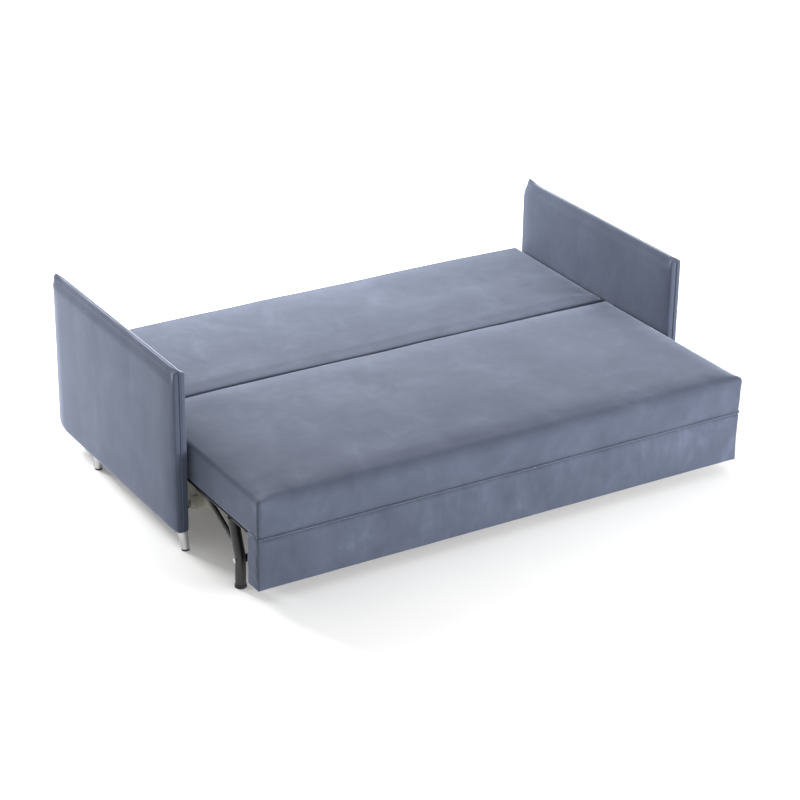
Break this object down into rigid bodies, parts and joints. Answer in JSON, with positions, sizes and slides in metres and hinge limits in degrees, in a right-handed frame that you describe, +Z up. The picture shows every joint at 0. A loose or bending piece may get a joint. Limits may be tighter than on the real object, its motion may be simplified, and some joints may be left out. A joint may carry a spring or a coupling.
{
  "type": "sofa bed",
  "caption": "Velvet sofa bed, unfolded: slab arms on tapered feet, seat on swinging links that moves forward and down while the back folds flat behind it.",
  "frame": {"origin": "on the floor, at the centre of the unfolded bed's outline", "axes": "+X to the right-hand arm seen from the front, the front faces -Y, +Z up"},
  "size_m": [2.082, 1.45, 0.66],
  "materials": {
    "velvet": "matte",
    "plywood": "matte",
    "timber": "matte",
    "slat_wood": "satin",
    "black_plastic": "satin",
    "laminate": "satin",
    "foot_steel": "satin",
    "black_steel": "satin",
    "cream_steel": "satin",
    "zinc_steel": "satin",
    "rubber": "matte"
  },
  "bodies": {
    "base": {"arm_board_left": "plywood", "arm_board_right": "plywood", "arm_bolts": "zinc_steel", "arm_pad_left": "velvet", "arm_pad_right": "velvet", "back_rests": "rubber", "base_rail_front": "black_steel", "base_rail_rear": "black_steel", "foot_front_left": "foot_steel", "foot_front_right": "foot_steel", "foot_glides": "black_plastic", "foot_rear_left": "foot_steel", "foot_rear_right": "foot_steel", "linen_box_floor": "laminate", "linen_box_front": "laminate", "linen_box_rear": "laminate", "linen_box_side_left": "laminate", "linen_box_side_right": "laminate", "lower_pins": "zinc_steel", "mechanism_plates": "cream_steel", "mechanism_screws": "zinc_steel", "rear_brackets": "black_steel", "rear_panel_board": "plywood", "rear_panel_cover": "velvet"},
    "front_links": {"cross_tube": "black_steel", "link_front_left": "cream_steel", "link_front_right": "cream_steel"},
    "rear_link_left": {"link_rear_left": "cream_steel"},
    "rear_link_right": {"link_rear_right": "cream_steel"},
    "seat": {"back_pins": "zinc_steel", "fascia_board": "plywood", "fascia_brackets": "black_steel", "fascia_pad": "velvet", "hinge_brackets": "black_steel", "leg_bolts": "zinc_steel", "leg_braces": "black_steel", "leg_caps": "black_plastic", "leg_knobs": "black_plastic", "leg_left": "black_steel", "leg_right": "black_steel", "rail_screws": "zinc_steel", "seat_cross_rail": "timber", "seat_cushion": "velvet", "seat_frame_front": "timber", "seat_frame_rear": "timber", "seat_frame_side_left": "timber", "seat_frame_side_right": "timber", "seat_rail_left": "black_steel", "seat_rail_right": "black_steel", "seat_slat_holders": "black_plastic", "seat_slats": "slat_wood", "upper_pins": "zinc_steel"},
    "back": {"back_bushes": "black_plastic", "back_cushion": "velvet", "back_frame_front": "timber", "back_frame_rear": "timber", "back_frame_side_left": "timber", "back_frame_side_right": "timber", "back_slat_holders": "black_plastic", "back_slats": "slat_wood"}
  },
  "joints": [
    {"name": "seat_swing", "type": "hinge", "parent": "base", "child": "front_links", "pos_m": [0, -0.11, 0.086], "axis": [-1, 0, 0], "range_deg": [0, 126.22]},
    {"name": "rear_link_left_swing", "type": "hinge", "parent": "base", "child": "rear_link_left", "pos_m": [-0.909, 0.17, 0.086], "axis": [-1, 0, 0], "range_deg": [0, 126.22]},
    {"name": "rear_link_right_swing", "type": "hinge", "parent": "base", "child": "rear_link_right", "pos_m": [0.909, 0.17, 0.086], "axis": [-1, 0, 0], "range_deg": [0, 126.22]},
    {"name": "seat_level", "type": "hinge", "parent": "front_links", "child": "seat", "pos_m": [0, -0.3409, 0.2031], "axis": [-1, 0, 0], "range_deg": [-126.22, 0]},
    {"name": "back_fold", "type": "hinge", "parent": "seat", "child": "back", "pos_m": [0, 0.18, 0.309], "axis": [1, 0, 0], "range_deg": [0, 86.01]}
  ],
  "couplings": [
    {"joint": "rear_link_left_swing", "follows": "seat_swing", "ratio": 1},
    {"joint": "rear_link_right_swing", "follows": "seat_swing", "ratio": 1},
    {"joint": "seat_level", "follows": "seat_swing", "ratio": -1},
    {"joint": "back_fold", "follows": "seat_swing", "ratio": 0.68136}
  ]
}
